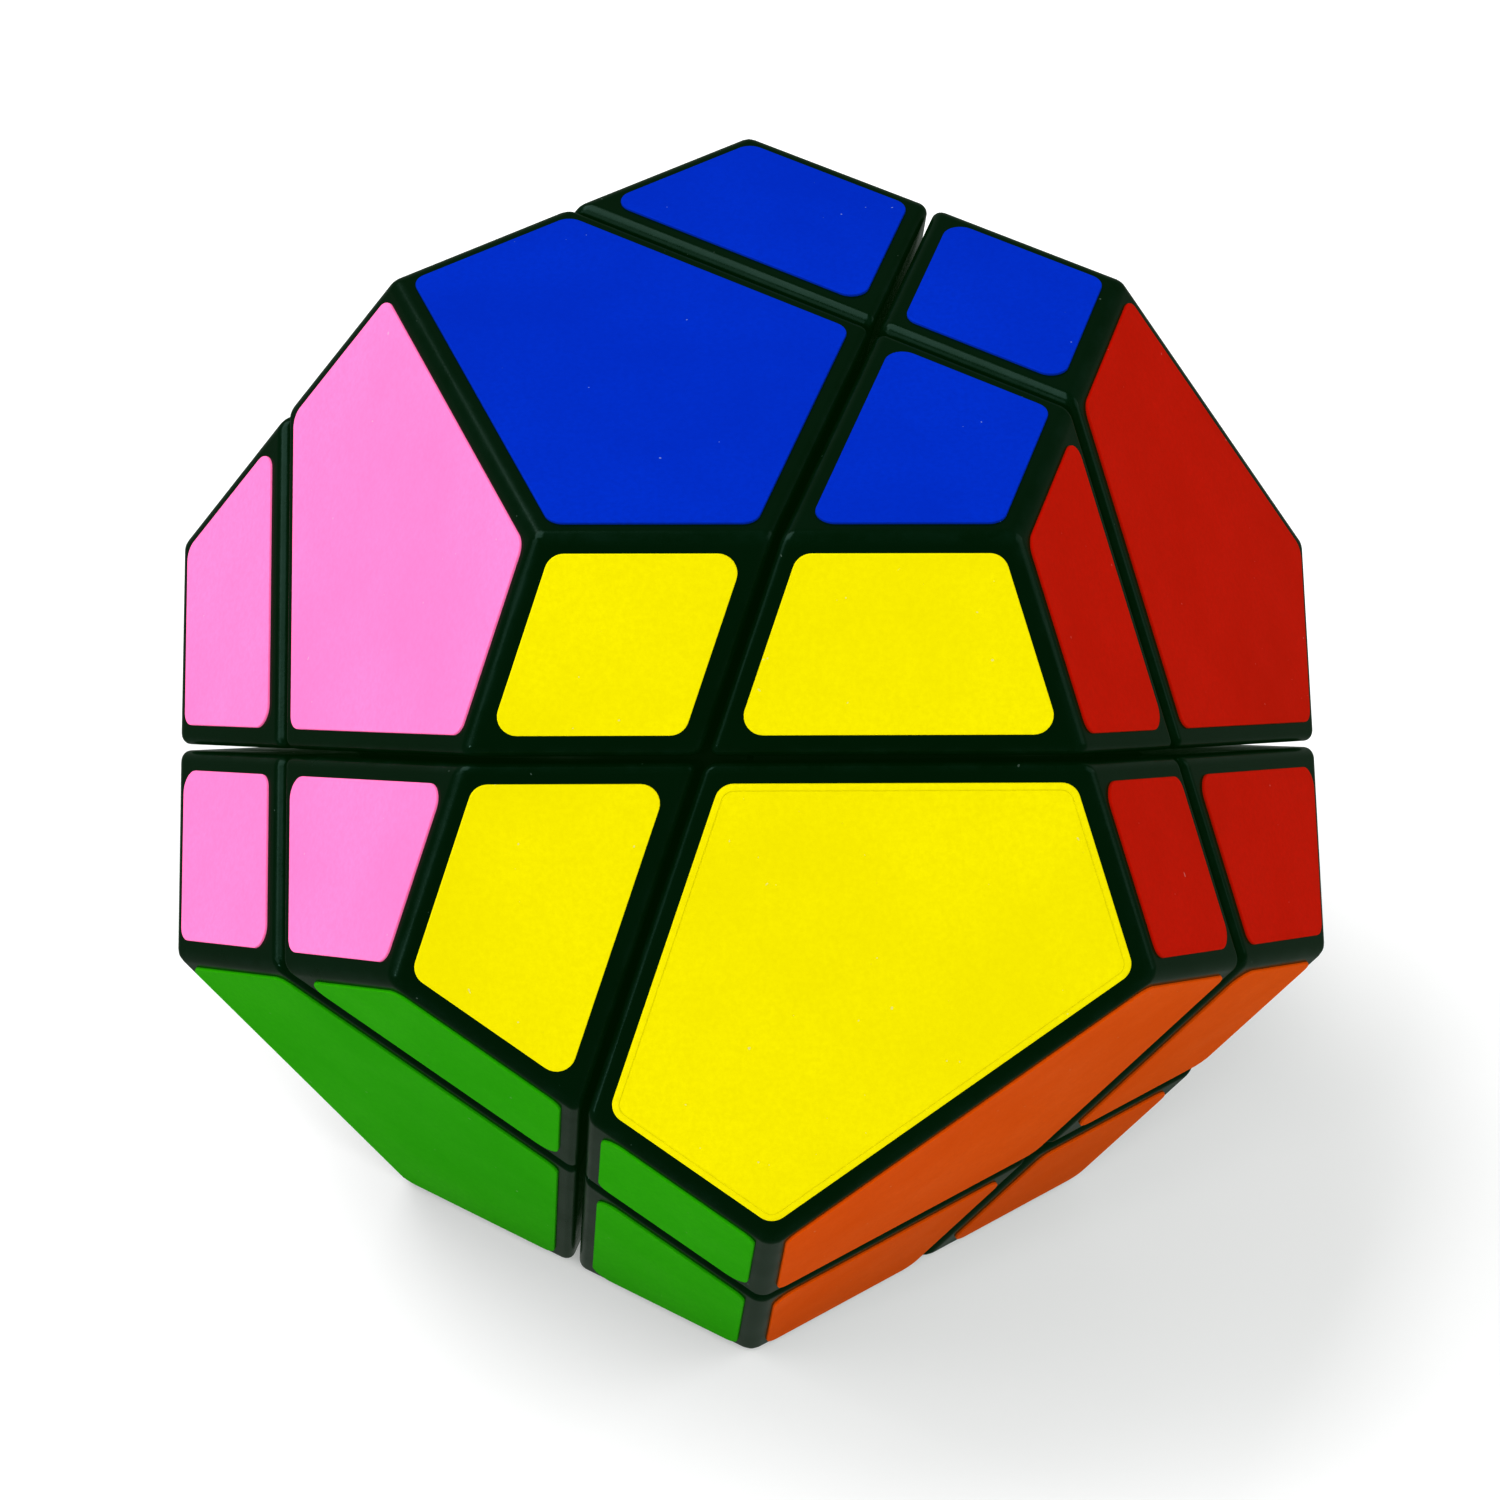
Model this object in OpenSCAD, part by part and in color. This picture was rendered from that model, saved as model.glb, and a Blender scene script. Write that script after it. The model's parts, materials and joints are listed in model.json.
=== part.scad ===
// Dodecahedron twisty puzzle with four deep turning axes.
//
// Four planes through the centre cut the dodecahedron. Each one is square to a body diagonal of the
// cube that stands inside it, so each turn carries half of the puzzle: seven of its fourteen pieces.
// The pieces are four corners screwed to the core, four free corners and six wide centres.
// A piece is named by the axes a, b, c and d whose turns carry it, so corner_a sits on axis a,
// centre_ab lies between axes a and b, and corner_abc lies opposite axis d.
//
// Everything is drawn about the centre in the axes of that inner cube. in_frame() stands it on a face.

/* [Puzzle] */
// Length of one edge of the dodecahedron
edge_length = 29; // [28:0.5:34]
// Gap between neighbouring pieces
piece_gap = 0.4; // [0.2:0.05:0.5]
// Width of the bevel along every edge of a piece
bevel = 0.7; // [0.3:0.1:0.9]
// Thickness of the moulded outer walls
wall = 2.4; // [2.3:0.1:2.8]

/* [Stickers] */
// Thickness of a vinyl sticker
sticker_t = 0.18; // [0.1:0.02:0.3]
// Distance from a sticker to the edges of the dodecahedron
sticker_edge_inset = 1.1; // [1:0.05:1.5]
// Distance from a sticker to the middle of the cut beside it
sticker_cut_inset = 1.5; // [1.2:0.05:2]
// Radius of a sticker's corners
sticker_corner_r = 1.2; // [0.5:0.1:1.5]

/* [Mechanism] */
// How far a foot reaches under the neighbour that holds it
hook_reach = 2.2; // [1.8:0.1:2.2]
// Gap between the spherical faces that slide on each other
slide_gap = 0.3; // [0.2:0.05:0.4]
// Thickness of the plug that closes the underside of a shell
plug_t = 2.6; // [2.4:0.1:2.8]
// Diameter of the stub that a fixed corner turns on
stub_d = 5.2; // [4.8:0.1:5.4]
// Radial play between a stub and its bore
stub_play = 0.05; // [0.02:0.01:0.1]
// Diameter of a core arm
arm_d = 8; // [7:0.5:9]
// Diameter of the round flange near the end of a core arm
flange_d = 17; // [14:0.5:18]
// Diameter of the ball that the core arms meet in
hub_d = 14; // [12:0.5:16]

/* [Screws and springs] */
// Diameter of a screw's shank
screw_d = 2.5; // [2.2:0.1:2.8]
// Length of a screw below its head
screw_length = 20; // [18:0.5:21]
// Diameter of a screw's head
head_d = 5.4; // [5:0.1:5.6]
// Height of a screw's head
head_h = 1.7; // [1.5:0.1:1.8]
// Diameter of a washer
washer_d = 6.2; // [5.8:0.1:6.4]
// Thickness of a washer
washer_t = 0.5; // [0.4:0.1:0.6]
// Outer diameter of a spring
spring_d = 5.4; // [5:0.1:5.6]
// Diameter of a spring's wire
spring_wire = 0.6; // [0.5:0.05:0.7]
// Length of a spring as fitted
spring_length = 3.6; // [3.2:0.1:3.8]
// Number of turns of a spring
spring_turns = 4; // [3:1:5]

/* [Hidden] */
phi = (1 + sqrt(5)) / 2;
round_fn = 96;
// Longer than anything drawn, and a small overshoot for tools that cut through
far = 60;
overshoot = 1;

// The dodecahedron, as the radii that its edge length gives
cube_half = edge_length * phi / 2;
face_r = cube_half * phi ^ 2 / sqrt(phi ^ 2 + 1);
apothem = edge_length / (2 * tan(36));

// The spherical layers, counted from the centre
hook_outer_r = 0.9 * edge_length;
hook_inner_r = 0.69 * edge_length;
half_slide = slide_gap / 2;
plug_r = hook_outer_r + half_slide + plug_t;

// Heights along a turning axis, from the centre
flange_depth = 4;
flange_z = hook_inner_r - flange_depth;
seat_depth = 0.65;
seat_floor_t = 1.75;
stub_end_play = 0.3;
axial_play = 0.05;
spring_seat = plug_r - seat_depth;
bore_end = spring_seat - seat_floor_t;
stub_end = bore_end - stub_end_play;
washer_z = spring_seat + axial_play + spring_length + axial_play;
head_z = washer_z + washer_t;
screw_tip = head_z - screw_length;
screw_hole_play = 0.2;
seat_play = 0.4;

// The cross recess in a screw's head
recess_l = 0.64 * head_d;
recess_w = 0.8;
recess_depth = 1.1;

// The four turning axes, and the sign of each is the side that its turn carries
AXES = [[1, -1, 1], [1, 1, -1], [-1, 1, 1], [-1, -1, -1]];
LETTERS = ["a", "b", "c", "d"];

// Each piece is a name and the direction in which it lies
FIXED = [for (i = [0:3]) [str("corner_", LETTERS[i]), AXES[i]]];
FREE = [for (i = [3:-1:0]) [str("corner_", joined([for (j = [0:3]) if (j != i) LETTERS[j]])), -AXES[i]]];
CENTRES = [for (i = [0:2], j = [i + 1:3])
    [str("centre_", LETTERS[i], LETTERS[j]), (AXES[i] + AXES[j]) / 2]];

// Twelve turns that bring the first face to each of the twelve: a third-turn count about the
// diagonal [1, 1, 1], and a half-turn about no axis, X, Y or Z before it
FACE_TURNS = [for (third = [0:2], half = [0:3]) [third, half]];
FIRST_FACE = [1, 0, phi];
HALF_TURN_AXES = [[0, 0, 1], [1, 0, 0], [0, 1, 0], [0, 0, 1]];

// Opposite faces share a colour
FACE_COLOURS = [["yellow", "orange"], ["pink", "blue"], ["green", "red"]];
PAINTS = [
    ["yellow", [0.97, 0.93, 0.02]],
    ["orange", [0.84, 0.33, 0.03]],
    ["pink", [1.00, 0.56, 0.86]],
    ["blue", [0.00, 0.17, 0.80]],
    ["green", [0.22, 0.62, 0.10]],
    ["red", [0.76, 0.08, 0.06]]
];
black_plastic = [0.03, 0.05, 0.05];
core_plastic = [0.16, 0.16, 0.17];
zinc_steel = [0.72, 0.73, 0.75];

// A sticker's kind is its name, the piece that carries it on the first face, and its outline as
// lines in order, each as the angle of its normal and its distance from the face's centre
crossing = cube_half * (phi - 1) / sqrt(phi ^ 2 + 1) * sin(54);
edge_line = apothem - sticker_edge_inset;
near_line = crossing - sticker_cut_inset;
far_line = -crossing - sticker_cut_inset;
STICKERS = [
    ["large", [0, 0, 1],
        [[54, near_line], [126, near_line], [198, edge_line], [270, edge_line], [342, edge_line]]],
    ["kite", [1, 0, 0],
        [[54, edge_line], [126, edge_line], [234, far_line], [306, far_line]]],
    ["quad", [1, -1, 1],
        [[-18, edge_line], [54, edge_line], [126, near_line], [234, far_line]]],
    ["quad", [1, 1, 1],
        [[54, near_line], [126, edge_line], [198, edge_line], [306, far_line]]]
];

// ---- Vectors and names ----

function unit(v) = v / norm(v);
function joined(words, i = 0) = i == len(words) ? "" : str(words[i], joined(words, i + 1));
function half_turned(v, half) = half == 0 ? v : [for (i = [0:2]) i == half - 1 ? v[i] : -v[i]];
function third_turned(v, third) = third == 0 ? v : third_turned([v[2], v[0], v[1]], third - 1);
function face_turned(v, turn) = third_turned(half_turned(v, turn[1]), turn[0]);
function face_colour(turn) = FACE_COLOURS[turn[0]][turn[1] % 2];
function paint_of(name) = PAINTS[search([name], PAINTS)[0]][1];
function large_colours(direction) = [
    for (turn = FACE_TURNS) if (face_turned([0, 0, 1], turn) == direction) face_colour(turn)
];

// ---- Planes that bound a piece, each as an outward unit normal and a distance ----

// A piece has a share of every face that leans less than this from the piece's direction
share_angle = 60;

// Two planes are taken to be back to back where the sum of their normals is shorter than this
back_to_back = 0.4;

// The cuts, all moved by shift against their axes, and then inwards by inset
function cut_planes(direction, shift, inset) = [
    for (axis = AXES)
        let (side = axis * direction > 0 ? 1 : -1)
            [-side * unit(axis), side * shift - inset]
];

// The faces of the dodecahedron that the piece has a share of
function face_planes(direction, inset) = [
    for (turn = FACE_TURNS)
        let (normal = unit(face_turned(FIRST_FACE, turn)))
            if (normal * unit(direction) > cos(share_angle)) [normal, face_r - inset]
];

// A bevel across the edge of every two planes that aren't back to back
function bevel_planes(planes) = [
    for (i = [0:len(planes) - 2], j = [i + 1:len(planes) - 1])
        let (sum = planes[i][0] + planes[j][0])
        let (difference = planes[i][0] - planes[j][0])
            if (norm(sum) > back_to_back)
                [unit(sum), (planes[i][1] + planes[j][1]) / norm(sum) - bevel * norm(difference) / 2]
];

module along(direction)
    rotate([0, acos(direction[2] / norm(direction)), atan2(direction[1], direction[0])])
        children();

module half_space(plane)
    along(plane[0])
        translate([-far, -far, plane[1] - 2 * far])
            cube(2 * far);

module convex(planes)
    intersection_for (plane = planes)
        half_space(plane);

module ball(r)
    sphere(r = r, $fn = round_fn);

// ---- Outer shells and the feet that close and hook them ----

module cavity(direction)
    convex(concat(
        cut_planes(direction, 0, piece_gap / 2 + wall),
        face_planes(direction, wall)
    ));

module shell(direction) {
    planes = concat(cut_planes(direction, 0, piece_gap / 2), face_planes(direction, 0));
    color(black_plastic)
        difference() {
            convex(concat(planes, bevel_planes(planes)));
            ball(hook_outer_r + half_slide);
            cavity(direction);
        }
}

// The foot slides between two spheres. Its sides are shifted, so that it reaches under the next
// piece on one side and makes room for its neighbour's foot on the other
module foot_body(direction) {
    intersection() {
        convex(cut_planes(direction, hook_reach, piece_gap / 2));
        ball(hook_outer_r - half_slide);
    }
    intersection() {
        cavity(direction);
        ball(plug_r);
    }
}

module foot(direction)
    color(black_plastic)
        difference() {
            foot_body(direction);
            ball(hook_inner_r + half_slide);
        }

// A fixed corner's base turns on a stub of the core, and holds the spring in a round seat
module base(direction)
    color(black_plastic)
        difference() {
            foot_body(direction);
            ball(hook_inner_r + half_slide);
            along(direction) {
                cylinder(d = stub_d + 2 * stub_play, h = bore_end, $fn = round_fn);
                cylinder(d = screw_d + 2 * screw_hole_play, h = far, $fn = round_fn);
                translate([0, 0, spring_seat])
                    cylinder(d = spring_d + 2 * seat_play, h = far, $fn = round_fn);
            }
        }

// ---- Core ----

module core_arm() {
    cylinder(d = arm_d, h = flange_z + overshoot, $fn = round_fn);
    cylinder(d = stub_d, h = stub_end, $fn = round_fn);
    intersection() {
        translate([0, 0, flange_z])
            cylinder(d = flange_d, h = 2 * flange_depth, $fn = round_fn);
        ball(hook_inner_r - half_slide);
    }
}

module core_spider()
    color(core_plastic)
        difference() {
            union() {
                ball(hub_d / 2);
                for (axis = AXES)
                    along(axis)
                        core_arm();
            }
            for (axis = AXES)
                along(axis)
                    translate([0, 0, screw_tip])
                        cylinder(d = screw_d, h = far, $fn = round_fn);
        }

module screw()
    difference() {
        union() {
            translate([0, 0, screw_tip])
                cylinder(d = screw_d, h = screw_length, $fn = round_fn);
            translate([0, 0, head_z])
                cylinder(d = head_d, h = head_h, $fn = round_fn);
        }
        for (turn = [0, 90])
            rotate(turn)
                translate([-recess_l / 2, -recess_w / 2, head_z + head_h - recess_depth])
                    cube([recess_l, recess_w, far]);
    }

module core_screws()
    color(zinc_steel)
        for (axis = AXES)
            along(axis)
                screw();

module screw_washers()
    color(zinc_steel)
        for (axis = AXES)
            along(axis)
                translate([0, 0, washer_z])
                    difference() {
                        cylinder(d = washer_d, h = washer_t, $fn = round_fn);
                        translate([0, 0, -overshoot])
                            cylinder(d = screw_d + screw_hole_play, h = far, $fn = round_fn);
                    }

// ---- Springs ----

spring_steps = 14;
spring_sides = 6;
coil_r = (spring_d - spring_wire) / 2;
coil_rise = spring_length - spring_wire;
spring_rings = spring_turns * spring_steps;

// One point of the wire's skin: ring number along the wire and side number round it
function spring_point(ring, side) =
    let (around = 360 * ring / spring_steps)
    let (round_wire = 360 * side / spring_sides)
    let (out = coil_r + spring_wire / 2 * cos(round_wire))
    let (rise = coil_rise * ring / spring_rings + spring_wire / 2 * (1 + sin(round_wire)))
        [out * cos(around), out * sin(around), rise];

module spring() {
    points = [for (ring = [0:spring_rings], side = [0:spring_sides - 1]) spring_point(ring, side)];
    skin = [
        for (ring = [0:spring_rings - 1], side = [0:spring_sides - 1])
            let (next = (side + 1) % spring_sides, start = ring * spring_sides)
                [start + side, start + spring_sides + side, start + spring_sides + next, start + next]
    ];
    first_end = [for (side = [0:spring_sides - 1]) side];
    last_end = [for (side = [spring_sides - 1:-1:0]) spring_rings * spring_sides + side];
    polyhedron(points, concat(skin, [first_end, last_end]));
}

module tension_springs()
    color(zinc_steel)
        for (axis = AXES)
            along(axis)
                translate([0, 0, spring_seat + axial_play])
                    spring();

// ---- Stickers ----

// Where two lines cross, each line as the angle of its normal and its distance
function crossing_point(m, n) =
    let (det = sin(n[0] - m[0]))
        [m[1] * sin(n[0]) - n[1] * sin(m[0]), n[1] * cos(m[0]) - m[1] * cos(n[0])] / det;

corner_steps = 6;

function rounded_outline(lines, r) = [
    for (i = [0:len(lines) - 1])
        let (m = lines[i], n = lines[(i + 1) % len(lines)])
        let (sweep = (n[0] - m[0] + 720) % 360)
        let (centre = crossing_point([m[0], m[1] - r], [n[0], n[1] - r]))
            for (step = [0:corner_steps])
                let (angle = m[0] + sweep * step / corner_steps)
                    centre + r * [cos(angle), sin(angle)]
];

// Brings the plane of the first face, with its top corner along +Y, to the face that a turn gives
module on_face(turn)
    rotate(a = 120 * turn[0], v = [1, 1, 1])
        rotate(a = turn[1] == 0 ? 0 : 180, v = HALF_TURN_AXES[turn[1]])
            rotate([-atan(1 / phi), 0, -90])
                translate([0, 0, face_r])
                    children();

module sticker(turn, kind)
    color(paint_of(face_colour(turn)))
        on_face(turn)
            linear_extrude(height = sticker_t)
                polygon(rounded_outline(kind[2], sticker_corner_r));

// The stickers of one kind that a piece carries, on faces of one colour or of any
module stickers(direction, kind_name, colour = "any")
    for (turn = FACE_TURNS, kind = STICKERS)
        if (kind[0] == kind_name && face_turned(kind[1], turn) == direction)
            if (colour == "any" || face_colour(turn) == colour)
                sticker(turn, kind);

// ---- Assembly, standing on a blue face with the opposite one on top and a yellow one in front ----

// The turn about the upright axis that brings the yellow face to the front
front_turn = -162;

module in_frame()
    translate([0, 0, face_r + sticker_t])
        rotate([-90, -atan(phi), front_turn])
            children();

in_frame() core_spider();
in_frame() core_screws();
in_frame() tension_springs();
in_frame() screw_washers();

for (p = FIXED) {
    in_frame() shell(p[1]);
    in_frame() base(p[1]);
    in_frame() stickers(p[1], "quad");
}

for (p = FREE) {
    in_frame() shell(p[1]);
    in_frame() foot(p[1]);
    in_frame() stickers(p[1], "quad");
}

for (p = CENTRES) {
    in_frame() shell(p[1]);
    in_frame() foot(p[1]);
    in_frame() stickers(p[1], "kite");
    for (paint = large_colours(p[1]))
        in_frame() stickers(p[1], "large", paint);
}
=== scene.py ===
"""Looks of the dodecahedron twisty puzzle: rounded shells, stickers, inner parts, floor and light."""

import json
import math

import bmesh
import bpy
from mathutils import Euler, Matrix, Vector


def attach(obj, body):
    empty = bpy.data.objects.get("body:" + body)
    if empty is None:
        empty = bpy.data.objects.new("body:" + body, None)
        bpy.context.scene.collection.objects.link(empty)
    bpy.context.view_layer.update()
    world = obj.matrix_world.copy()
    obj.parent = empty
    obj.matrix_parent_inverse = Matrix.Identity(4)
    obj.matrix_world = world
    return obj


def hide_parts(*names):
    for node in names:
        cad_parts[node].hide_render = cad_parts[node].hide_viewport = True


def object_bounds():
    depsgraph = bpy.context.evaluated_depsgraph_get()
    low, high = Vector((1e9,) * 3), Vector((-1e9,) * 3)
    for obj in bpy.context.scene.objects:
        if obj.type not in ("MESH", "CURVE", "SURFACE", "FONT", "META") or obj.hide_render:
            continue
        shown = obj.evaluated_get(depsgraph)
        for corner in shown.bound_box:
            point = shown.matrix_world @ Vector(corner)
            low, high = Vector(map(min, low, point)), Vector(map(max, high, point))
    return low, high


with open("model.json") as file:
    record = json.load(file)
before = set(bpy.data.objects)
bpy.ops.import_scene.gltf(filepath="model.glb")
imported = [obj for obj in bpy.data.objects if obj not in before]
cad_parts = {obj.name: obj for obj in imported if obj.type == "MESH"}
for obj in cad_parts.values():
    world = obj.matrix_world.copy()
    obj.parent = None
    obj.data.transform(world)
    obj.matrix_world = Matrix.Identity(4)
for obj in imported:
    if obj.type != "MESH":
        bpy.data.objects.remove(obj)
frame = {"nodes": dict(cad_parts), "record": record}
cad_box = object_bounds()
scene = bpy.context.scene

# ---------------------------------------------------------------------------------------------------
# Sizes. Meshes are built in millimetres about the puzzle's centre, in the axes of the cube inside the
# dodecahedron, and TO_FRAME brings them to the row frame in metres.
# ---------------------------------------------------------------------------------------------------

PHI = (1 + math.sqrt(5)) / 2
MM = 0.001

STICKER_T = 0.18
PIECE_GAP = 0.4
WALL = 2.4
SLIDE_GAP = 0.3
EDGE_INSET = 1.1
CUT_INSET = 1.5
STICKER_CORNER = 1.2
PIECE_ROUNDING = 0.72
ROUNDING_STEPS = 5
ROUNDED_DEPTH = 0.25 * PIECE_ROUNDING
BALL_SUBDIVISIONS = 5
CUT_TOLERANCE = 1e-5
SHELL_SHARP_ANGLE = 32
STICKER_SHARP_ANGLE = 50
FACE_WEIGHT = 100

height = (cad_box[1].z - cad_box[0].z) / MM
face_r = height / 2 - STICKER_T
cube_half = face_r * math.sqrt(PHI**2 + 1) / PHI**2
edge_length = 2 * cube_half / PHI
apothem = edge_length / (2 * math.tan(math.radians(36)))

# The radius inside which the feet slide, and how near the centre a shell's block may reach
hook_r = 0.9 * edge_length + SLIDE_GAP / 2
apex_depth = 0.4 * hook_r

CENTRE = Vector((0, 0, (cad_box[1].z + cad_box[0].z) / 2))
STANDING = Euler((math.radians(-90), -math.atan(PHI), math.radians(-162))).to_matrix()
TO_FRAME = Matrix.Translation(CENTRE) @ (STANDING * MM).to_4x4()

# ---------------------------------------------------------------------------------------------------
# Pieces, named by the turning axes that carry them
# ---------------------------------------------------------------------------------------------------

AXES = {
    "a": Vector((1, -1, 1)),
    "b": Vector((1, 1, -1)),
    "c": Vector((-1, 1, 1)),
    "d": Vector((-1, -1, -1)),
}
FACE_TURNS = [(third, half) for third in range(3) for half in range(4)]
FACE_COLOURS = (("yellow", "orange"), ("pink", "blue"), ("green", "red"))
MOST_LEAN = 60


def direction_of(body):
    """Where a piece lies: the sum of its axes, as whole numbers of -1, 0 and 1."""
    letters = body.split("_")[1]
    total = sum((AXES[letter] for letter in letters), Vector((0, 0, 0)))
    if len(letters) == 2:
        total = total / 2
    return total


def face_turned(v, turn):
    """The turn that brings the first face to one of the twelve: a half-turn, then third-turns."""
    third, half = turn
    x = list(v)
    if half:
        x = [x[i] if i == half - 1 else -x[i] for i in range(3)]
    for _ in range(third):
        x = [x[2], x[0], x[1]]
    return Vector(x)


def face_colour(turn):
    return FACE_COLOURS[turn[0]][turn[1] % 2]


def outer_planes(direction):
    """The planes round a shell, each as an outward normal and a distance from the centre.

    A shell carries the faces that lean less than MOST_LEAN degrees from its own direction.
    """
    planes = []
    for axis in AXES.values():
        side = 1 if axis.dot(direction) > 0 else -1
        planes.append((-side * axis.normalized(), -PIECE_GAP / 2))
    for turn in FACE_TURNS:
        normal = face_turned((1, 0, PHI), turn).normalized()
        if normal.angle(direction) < math.radians(MOST_LEAN):
            planes.append((normal, face_r))
    return planes


# ---------------------------------------------------------------------------------------------------
# Materials
# ---------------------------------------------------------------------------------------------------


class Nodes:
    """A few short calls that build a material's node tree."""

    def __init__(self, name):
        self.material = bpy.data.materials.new(name)
        self.material.use_nodes = True
        self.tree = self.material.node_tree
        self.shader = self.tree.nodes["Principled BSDF"]
        self.place = self.add("ShaderNodeTexCoord").outputs["Object"]

    def add(self, kind, **settings):
        node = self.tree.nodes.new(kind)
        for key, value in settings.items():
            setattr(node, key, value)
        return node

    def link(self, source, target):
        self.tree.links.new(source, target)

    def set(self, **values):
        for key, value in values.items():
            self.shader.inputs[key.replace("_", " ")].default_value = value

    def noise(self, scale, detail=3.0, roughness=0.5):
        node = self.add("ShaderNodeTexNoise")
        node.inputs["Scale"].default_value = scale
        node.inputs["Detail"].default_value = detail
        node.inputs["Roughness"].default_value = roughness
        self.link(self.place, node.inputs["Vector"])
        return node.outputs["Fac"]

    def remap(self, value, low, high, to_low=0.0, to_high=1.0):
        node = self.add("ShaderNodeMapRange", clamp=True)
        for key, number in zip(("From Min", "From Max", "To Min", "To Max"), (low, high, to_low, to_high)):
            node.inputs[key].default_value = number
        self.link(value, node.inputs["Value"])
        return node.outputs["Result"]

    def dust(self):
        """A few specks of dust, a tenth of a millimetre across."""
        return self.remap(self.noise(2400, 1, 0.3), 0.815, 0.835, 0.0, 0.7)

    def multiply(self, a, b):
        node = self.add("ShaderNodeMath", operation="MULTIPLY")
        self.link(a, node.inputs[0])
        self.link(b, node.inputs[1])
        return node.outputs["Value"]

    def mix(self, factor, a, b):
        """Mixes two colours, each a socket or a plain colour."""
        node = self.add("ShaderNodeMix", data_type="RGBA")
        self.link(factor, node.inputs["Factor"])
        for socket, colour in ((node.inputs[6], a), (node.inputs[7], b)):
            if isinstance(colour, tuple):
                socket.default_value = (*colour, 1)
            else:
                self.link(colour, socket)
        return node.outputs[2]

    def bump(self, height, strength, distance, under=None):
        node = self.add("ShaderNodeBump")
        node.inputs["Strength"].default_value = strength
        node.inputs["Distance"].default_value = distance
        self.link(height, node.inputs["Height"])
        if under is not None:
            self.link(under, node.inputs["Normal"])
        return node.outputs["Normal"]

    def colour(self, socket):
        self.link(socket, self.shader.inputs["Base Color"])

    def roughness(self, socket):
        self.link(socket, self.shader.inputs["Roughness"])

    def normal(self, socket):
        self.link(socket, self.shader.inputs["Normal"])


def shell_plastic():
    """Black moulded plastic with patchy gloss, and a painted highlight: paler colour on its rounded edges,
    broken up by noise.
    """
    n = Nodes("shell_plastic")
    clouds = n.noise(90, 4)
    edge_rounding = n.add("ShaderNodeAttribute", attribute_name="rounding").outputs["Fac"]
    # Painted highlight: the rounded edges get a paler colour, broken up by noise, in place of the light
    # they catch
    painted_edge_highlight = n.multiply(edge_rounding, n.remap(n.noise(420, 5, 0.7), 0.42, 0.72))
    base = n.mix(n.remap(clouds, 0.3, 0.7), (0.0003, 0.0045, 0.0022), (0.0008, 0.0065, 0.0040))
    with_painted_highlight = n.mix(painted_edge_highlight, base, (0.006, 0.014, 0.012))
    n.colour(n.mix(n.dust(), with_painted_highlight, (0.10, 0.12, 0.11)))
    n.roughness(n.remap(n.noise(260, 5, 0.65), 0.3, 0.7, 0.15, 0.28))
    grain = n.bump(n.noise(5200, 2), 0.10, 0.00004)
    n.normal(n.bump(n.noise(160, 2), 0.12, 0.00012, grain))
    n.set(Specular_IOR_Level=0.16, Specular_Tint=(0.62, 1.0, 0.92, 1))
    return n.material


def inner_plastic():
    """Plain black plastic of the feet, with patchy roughness."""
    n = Nodes("inner_plastic")
    base = n.mix(n.remap(n.noise(120, 4), 0.3, 0.7), (0.012, 0.014, 0.015), (0.022, 0.024, 0.026))
    n.colour(base)
    n.roughness(n.remap(n.noise(75, 3), 0.35, 0.65, 0.32, 0.58))
    n.normal(n.bump(n.noise(3600, 2), 0.14, 0.00005))
    n.set(Specular_IOR_Level=0.5)
    return n.material


def core_plastic():
    """Dark grey plastic of the core, faintly mottled by the moulding."""
    n = Nodes("core_plastic_mottled")
    n.colour(n.mix(n.remap(n.noise(150, 5), 0.3, 0.7), (0.040, 0.041, 0.046), (0.066, 0.068, 0.074)))
    n.roughness(n.remap(n.noise(210, 4), 0.3, 0.7, 0.36, 0.52))
    n.normal(n.bump(n.noise(3000, 3), 0.18, 0.00005))
    n.set(Specular_IOR_Level=0.5)
    return n.material


def plated_steel(name, pale, dark, grain_scale):
    """Zinc-plated steel with fine clouding."""
    n = Nodes(name)
    n.colour(n.mix(n.remap(n.noise(grain_scale, 4), 0.35, 0.65), dark, pale))
    n.roughness(n.remap(n.noise(grain_scale * 3, 4), 0.3, 0.7, 0.22, 0.42))
    n.normal(n.bump(n.noise(grain_scale * 9, 2), 0.10, 0.00003))
    n.set(Metallic=1.0)
    return n.material


# Each vinyl has its main colour and the deeper colour of its mottling
VINYLS = {
    "yellow": ((0.725, 0.655, 0.000), (0.655, 0.580, 0.000)),
    "blue": ((0.000, 0.034, 0.455), (0.000, 0.024, 0.380)),
    "pink": ((0.960, 0.225, 0.500), (0.890, 0.185, 0.430)),
    "green": ((0.042, 0.368, 0.000), (0.028, 0.308, 0.000)),
    "orange": ((0.690, 0.108, 0.000), (0.600, 0.084, 0.000)),
    "red": ((0.520, 0.000, 0.000), (0.430, 0.000, 0.000)),
}


def vinyl(colour):
    """Satin printed vinyl: slow mottling, a fine grain, a little dust and faint orange peel."""
    main, deep = VINYLS[colour]
    n = Nodes("vinyl_" + colour)
    mottled = n.mix(n.remap(n.noise(70, 5, 0.6), 0.38, 0.66, 0.0, 0.55), main, deep)
    grained = n.mix(n.remap(n.noise(2800, 3, 0.7), 0.34, 0.66, 0.0, 0.55), mottled, deep)
    dusty = tuple(0.5 * channel + 0.25 for channel in main)
    n.colour(n.mix(n.dust(), grained, dusty))
    n.roughness(n.remap(n.noise(140, 4), 0.3, 0.7, 0.40, 0.54))
    peel = n.bump(n.noise(700, 2), 0.10, 0.00008)
    n.normal(n.bump(n.noise(4200, 2), 0.12, 0.00003, peel))
    n.set(Specular_IOR_Level=0.025)
    return n.material


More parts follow.
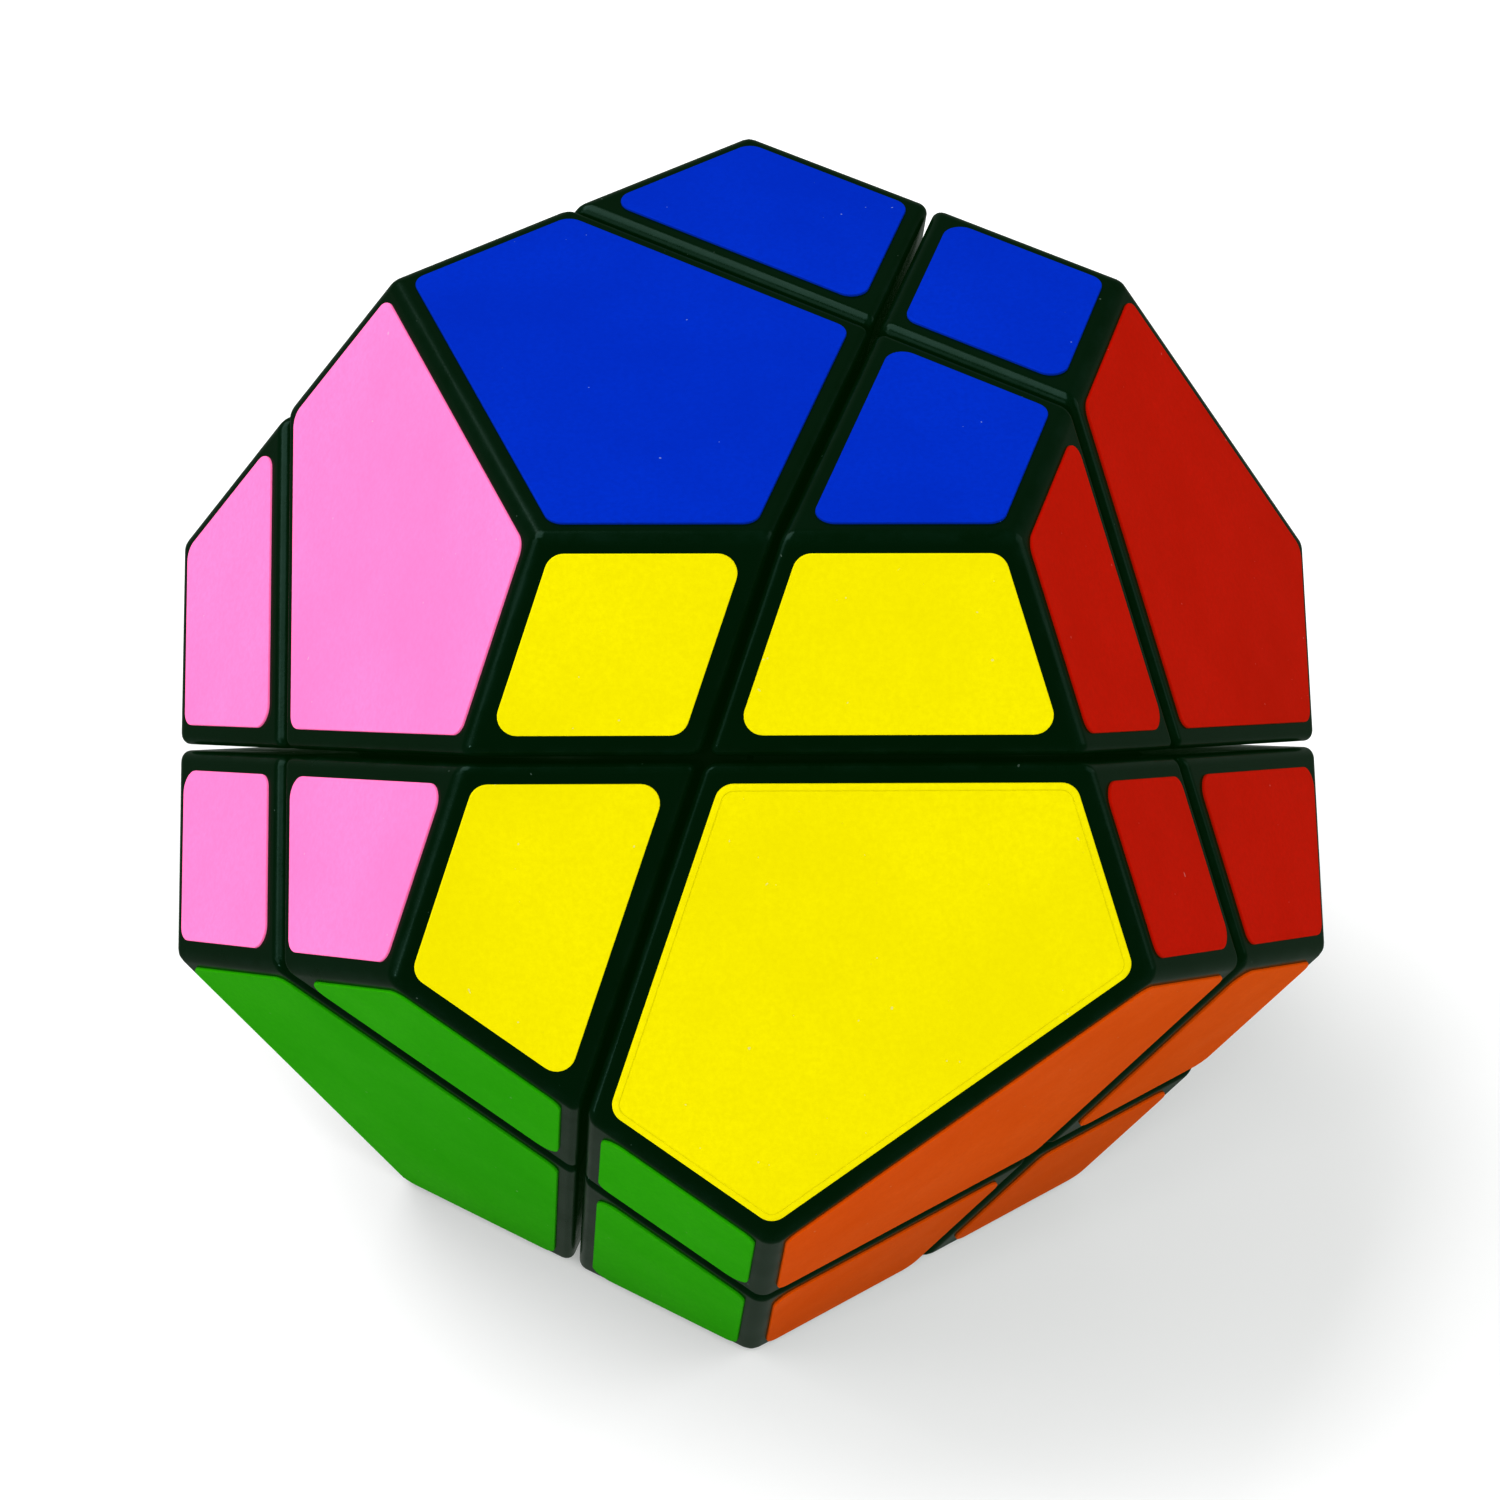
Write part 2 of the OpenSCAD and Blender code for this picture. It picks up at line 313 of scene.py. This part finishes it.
MATERIALS = {
    "black_plastic": shell_plastic(),
    "inner_plastic": inner_plastic(),
    "core_plastic": core_plastic(),
    "screw_steel": plated_steel("zinc_screw", (0.70, 0.71, 0.74), (0.52, 0.53, 0.56), 900),
    "washer_steel": plated_steel("zinc_washer", (0.66, 0.67, 0.69), (0.50, 0.51, 0.53), 700),
    "spring_steel": plated_steel("spring_wire", (0.55, 0.56, 0.58), (0.40, 0.41, 0.43), 1500),
}
for colour in VINYLS:
    MATERIALS["sticker_" + colour] = vinyl(colour)

# ---------------------------------------------------------------------------------------------------
# Mesh helpers
# ---------------------------------------------------------------------------------------------------


def link_mesh(name, bm, slot):
    """Turns a bmesh in millimetres about the centre into a piece in the row frame."""
    bm.transform(TO_FRAME)
    mesh = bpy.data.meshes.new(name)
    bm.to_mesh(mesh)
    bm.free()
    piece = bpy.data.objects.new(name, mesh)
    scene.collection.objects.link(piece)
    mesh.materials.append(MATERIALS[slot])
    return piece


def smooth(piece, sharp_angle):
    """Smooth shading that keeps the flats flat and the hard edges hard."""
    mesh = piece.data
    mesh.shade_smooth()
    mesh.set_sharp_from_angle(angle=math.radians(sharp_angle))
    level = piece.modifiers.new("flat_normals", "WEIGHTED_NORMAL")
    level.weight = FACE_WEIGHT
    level.keep_sharp = True


def convex_bmesh(planes):
    """The solid inside every plane, cut out of a block twice as big as the puzzle."""
    bm = bmesh.new()
    bmesh.ops.create_cube(bm, size=4 * face_r)
    for normal, distance in planes:
        everything = bm.verts[:] + bm.edges[:] + bm.faces[:]
        cut = bmesh.ops.bisect_plane(
            bm, geom=everything, dist=CUT_TOLERANCE, plane_co=normal * distance, plane_no=normal,
            clear_outer=True,
        )
        rim = [e for e in cut["geom_cut"] if isinstance(e, bmesh.types.BMEdge)]
        if rim:
            bmesh.ops.holes_fill(bm, edges=rim, sides=0)
    bmesh.ops.recalc_face_normals(bm, faces=bm.faces[:])
    return bm


def carve(piece, tool):
    """Takes the tool away from the piece, and deletes the tool."""
    cut = piece.modifiers.new("carve", "BOOLEAN")
    cut.object = tool
    cut.operation = "DIFFERENCE"
    cut.solver = "EXACT"
    graph = bpy.context.evaluated_depsgraph_get()
    carved = bpy.data.meshes.new_from_object(piece.evaluated_get(graph))
    piece.modifiers.clear()
    piece.data = carved
    bpy.data.objects.remove(tool)


# ---------------------------------------------------------------------------------------------------
# Shells
# ---------------------------------------------------------------------------------------------------


def mark_rounding(piece, planes):
    """Writes how far each point lies in from the flats, from 0 on a flat to 1 midway round an edge."""
    to_cube = TO_FRAME.inverted()
    layer = piece.data.attributes.new("rounding", "FLOAT", "POINT")
    for vertex, value in zip(piece.data.vertices, layer.data):
        point = to_cube @ vertex.co
        depth = min(distance - normal.dot(point) for normal, distance in planes)
        value.value = max(0.0, min(1.0, depth / ROUNDED_DEPTH))


def shell(body, node):
    """A hollow shell with every outer edge rounded, open towards its foot."""
    direction = direction_of(body)
    planes = outer_planes(direction)
    apex_cut = (-direction.normalized(), -apex_depth)

    solid = convex_bmesh(planes + [apex_cut])
    bmesh.ops.bevel(
        solid, geom=solid.edges[:], offset=PIECE_ROUNDING, offset_type="OFFSET", segments=ROUNDING_STEPS,
        profile=0.5, affect="EDGES", clamp_overlap=True,
    )
    piece = link_mesh(node + "_rounded", solid, "black_plastic")

    ball = bmesh.new()
    bmesh.ops.create_icosphere(ball, subdivisions=BALL_SUBDIVISIONS, radius=hook_r)
    carve(piece, link_mesh("ball_tool", ball, "inner_plastic"))

    cavity_planes = [(normal, distance - WALL) for normal, distance in planes]
    cavity = convex_bmesh(cavity_planes)
    carve(piece, link_mesh("cavity_tool", cavity, "inner_plastic"))

    mark_rounding(piece, planes)
    smooth(piece, SHELL_SHARP_ANGLE)
    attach(piece, body)
    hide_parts(node)


# ---------------------------------------------------------------------------------------------------
# Stickers
# ---------------------------------------------------------------------------------------------------

# How far a cut line passes from the face's centre, and a sticker's sides at an edge and at a cut: on the
# centre's side of it, or beyond it
crossing = cube_half * (PHI - 1) / math.sqrt(PHI**2 + 1) * math.sin(math.radians(54))
EDGE_LINE = apothem - EDGE_INSET
NEAR_LINE = crossing - CUT_INSET
FAR_LINE = -crossing - CUT_INSET

# Each kind: the piece that carries it on the first face, the angles of its sides' normals in order
# round it, in degrees, and the sides' distances from the face's centre
STICKER_KINDS = (
    ("large", (0, 0, 1), (54, 126, 198, 270, 342), (NEAR_LINE, NEAR_LINE, EDGE_LINE, EDGE_LINE, EDGE_LINE)),
    ("kite", (1, 0, 0), (54, 126, 234, 306), (EDGE_LINE, EDGE_LINE, FAR_LINE, FAR_LINE)),
    ("quad", (1, -1, 1), (-18, 54, 126, 234), (EDGE_LINE, EDGE_LINE, NEAR_LINE, FAR_LINE)),
    ("quad", (1, 1, 1), (54, 126, 198, 306), (NEAR_LINE, EDGE_LINE, EDGE_LINE, FAR_LINE)),
)

# The first face, with its top corner along the local +Y
FACE_PLACE = Euler((-math.atan(1 / PHI), 0, math.radians(-90))).to_matrix()

# A sticker's side, as distance in from its outline and height: a cut side and a soft upper rim
RIM_R = 0.07
RIM_MIDDLE = 0.02
RIM = ((0, 0), (0, STICKER_T - RIM_R), (RIM_MIDDLE, STICKER_T - RIM_MIDDLE), (RIM_R, STICKER_T))
CORNER_STEPS = 8

# The clear film over the big front sticker ends a little way in, as a fine groove
FILMED_STICKER = "centre_ac_large_yellow"
FILM_DEPTH = 0.03
GROOVE_FLOOR = STICKER_T - FILM_DEPTH
FILM_EDGE = ((0.40, STICKER_T), (0.42, GROOVE_FLOOR), (0.46, GROOVE_FLOOR), (0.48, STICKER_T))


def line_crossing(m, n):
    """The point where two sides' lines cross."""
    a, b = math.radians(m[0]), math.radians(n[0])
    det = math.sin(b - a)
    x = (m[1] * math.sin(b) - n[1] * math.sin(a)) / det
    y = (n[1] * math.cos(a) - m[1] * math.cos(b)) / det
    return Vector((x, y))


def rounded_outline(sides, inset):
    """The outline with round corners, moved in by inset."""
    r = STICKER_CORNER - inset
    points = []
    for i, m in enumerate(sides):
        n = sides[(i + 1) % len(sides)]
        sweep = (n[0] - m[0]) % 360
        centre = line_crossing((m[0], m[1] - STICKER_CORNER), (n[0], n[1] - STICKER_CORNER))
        for step in range(CORNER_STEPS + 1):
            angle = math.radians(m[0] + sweep * step / CORNER_STEPS)
            points.append(centre + r * Vector((math.cos(angle), math.sin(angle))))
    return points


def sticker(name, body, node, turn, sides):
    """One sticker on the face that turn gives, as a thin plate with a soft rim.

    It throws no coloured light on the floor, whose shadow stays grey.
    """
    bm = bmesh.new()
    rings = []
    profile = RIM + FILM_EDGE if name == FILMED_STICKER else RIM
    for inset, rise in profile:
        ring = []
        for point in rounded_outline(sides, inset):
            local = FACE_PLACE @ Vector((point.x, point.y, face_r + rise))
            ring.append(bm.verts.new(face_turned(local, turn)))
        rings.append(ring)
    count = len(rings[0])
    for low, high in zip(rings, rings[1:]):
        for i in range(count):
            j = (i + 1) % count
            bm.faces.new((low[i], low[j], high[j], high[i]))
    bm.faces.new(reversed(rings[0]))
    bm.faces.new(rings[-1])
    slot = "sticker_" + face_colour(turn)
    piece = link_mesh(name, bm, slot)
    piece.visible_diffuse = False
    smooth(piece, STICKER_SHARP_ANGLE)
    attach(piece, body)
    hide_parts(node)


def stickers_of(body):
    """Every sticker that a piece carries."""
    direction = direction_of(body)
    for turn in FACE_TURNS:
        colour = face_colour(turn)
        node_of = {"large": f"{body}_{colour}", "kite": body + "_kites", "quad": body + "_stickers"}
        for kind, carrier, angles, distances in STICKER_KINDS:
            if face_turned(carrier, turn) == direction:
                sides = list(zip(angles, distances))
                sticker(f"{body}_{kind}_{colour}", body, node_of[kind], turn, sides)


# ---------------------------------------------------------------------------------------------------
# Assembly
# ---------------------------------------------------------------------------------------------------

slots = {part["node"]: part["material_slot"] for part in frame["record"]["subparts"]}
for name, node in frame["nodes"].items():
    if slots[name] in MATERIALS:
        node.data.materials.clear()
        node.data.materials.append(MATERIALS[slots[name]])

for body, nodes in frame["record"]["behaviour"]["bodies"].items():
    if body == "core":
        continue
    outer = next(node for node in nodes if node.endswith(("_cap", "_shell")))
    shell(body, outer)
    stickers_of(body)

# ---------------------------------------------------------------------------------------------------
# Floor, light and camera
# ---------------------------------------------------------------------------------------------------


FLOOR_HALF = 3.0
FLOOR_CORNERS = ((-1, -1), (1, -1), (1, 1), (-1, 1))
SURROUNDINGS_STRENGTH = 0.20

# Each light's name, place and size in metres, power in watts, and whether glossy edges mirror it
LIGHTS = (
    ("key_softbox", (-0.55, 0.25, 1.00), 0.90, 8.0, True),
    ("side_softbox", (-1.00, -0.25, 0.60), 0.60, 1.9, True),
    ("edge_softbox", (-0.92, -0.66, 0.22), 0.10, 1.3, True),
    ("front_softbox", (0.15, -0.80, 0.85), 0.70, 5.2, False),
    ("fill_softbox", (1.10, 0.10, 0.50), 0.90, 2.6, True),
)

# A contrasted picture whose blacks are slightly green, as in the photo
LOOK = "High Contrast"
BLACK_LEVEL = (0.0, -0.011, 0.0)


def floor():
    """A wide white floor that glows a little, so that it stays white, and isn't mirrored in the plastic."""
    n = Nodes("pale_floor")
    n.colour(n.mix(n.remap(n.noise(6, 2), 0.3, 0.7), (0.63, 0.63, 0.63), (0.65, 0.65, 0.65)))
    n.set(Roughness=0.9, Specular_IOR_Level=0.1, Emission_Color=(1, 1, 1, 1), Emission_Strength=0.25)
    bm = bmesh.new()
    bm.faces.new([bm.verts.new((x * FLOOR_HALF, y * FLOOR_HALF, cad_box[0].z)) for x, y in FLOOR_CORNERS])
    mesh = bpy.data.meshes.new("floor")
    bm.to_mesh(mesh)
    bm.free()
    mesh.materials.append(n.material)
    ground = bpy.data.objects.new("floor", mesh)
    ground.visible_glossy = False
    scene.collection.objects.link(ground)


def softbox(name, place, size, power, mirrored):
    """A square area light that faces the puzzle."""
    light = bpy.data.lights.new(name, "AREA")
    light.shape = "SQUARE"
    light.size = size
    light.energy = power
    lamp = bpy.data.objects.new(name, light)
    lamp.visible_glossy = mirrored
    lamp.location = Vector(place)
    lamp.rotation_euler = (CENTRE - lamp.location).to_track_quat("-Z", "Y").to_euler()
    scene.collection.objects.link(lamp)


def surroundings(strength):
    """An even white light from all round."""
    world = bpy.data.worlds.new("studio")
    world.use_nodes = True
    back = world.node_tree.nodes["Background"]
    back.inputs["Color"].default_value = (1, 1, 1, 1)
    back.inputs["Strength"].default_value = strength
    scene.world = world


CAMERA_DISTANCE = 0.3647
CAMERA_AZIMUTH = -3.47
CAMERA_ELEVATION = 38.84
CAMERA_ROLL = 2.0
CAMERA_NEAR = 0.01
AIM_BELOW_CENTRE = 0.0003
LENS = 131.3
SENSOR_WIDTH = 36


def camera():
    """A camera that looks at the puzzle from the photographed side, rolled a little."""
    azimuth, elevation = math.radians(CAMERA_AZIMUTH), math.radians(CAMERA_ELEVATION)
    out = Vector((
        math.sin(azimuth) * math.cos(elevation),
        -math.cos(azimuth) * math.cos(elevation),
        math.sin(elevation),
    ))
    level = Matrix((out.cross((0, 0, -1)).normalized(), Vector(), out)).to_3x3()
    level[1] = out.cross(level[0])
    turned = level.transposed() @ Matrix.Rotation(math.radians(CAMERA_ROLL), 3, "Z")
    data = bpy.data.cameras.new("camera")
    data.lens = LENS
    data.sensor_width = SENSOR_WIDTH
    data.clip_start = CAMERA_NEAR
    eye = bpy.data.objects.new("camera", data)
    place = CENTRE + out * CAMERA_DISTANCE - turned.col[1] * AIM_BELOW_CENTRE
    eye.matrix_world = Matrix.Translation(place) @ turned.to_4x4()
    scene.collection.objects.link(eye)
    bpy.context.scene.camera = eye


floor()
surroundings(SURROUNDINGS_STRENGTH)
for light in LIGHTS:
    softbox(*light)
camera()
view = scene.view_settings
view.view_transform = "Standard"
view.look = LOOK
view.use_curve_mapping = True
view.curve_mapping.black_level = BLACK_LEVEL
view.curve_mapping.update()
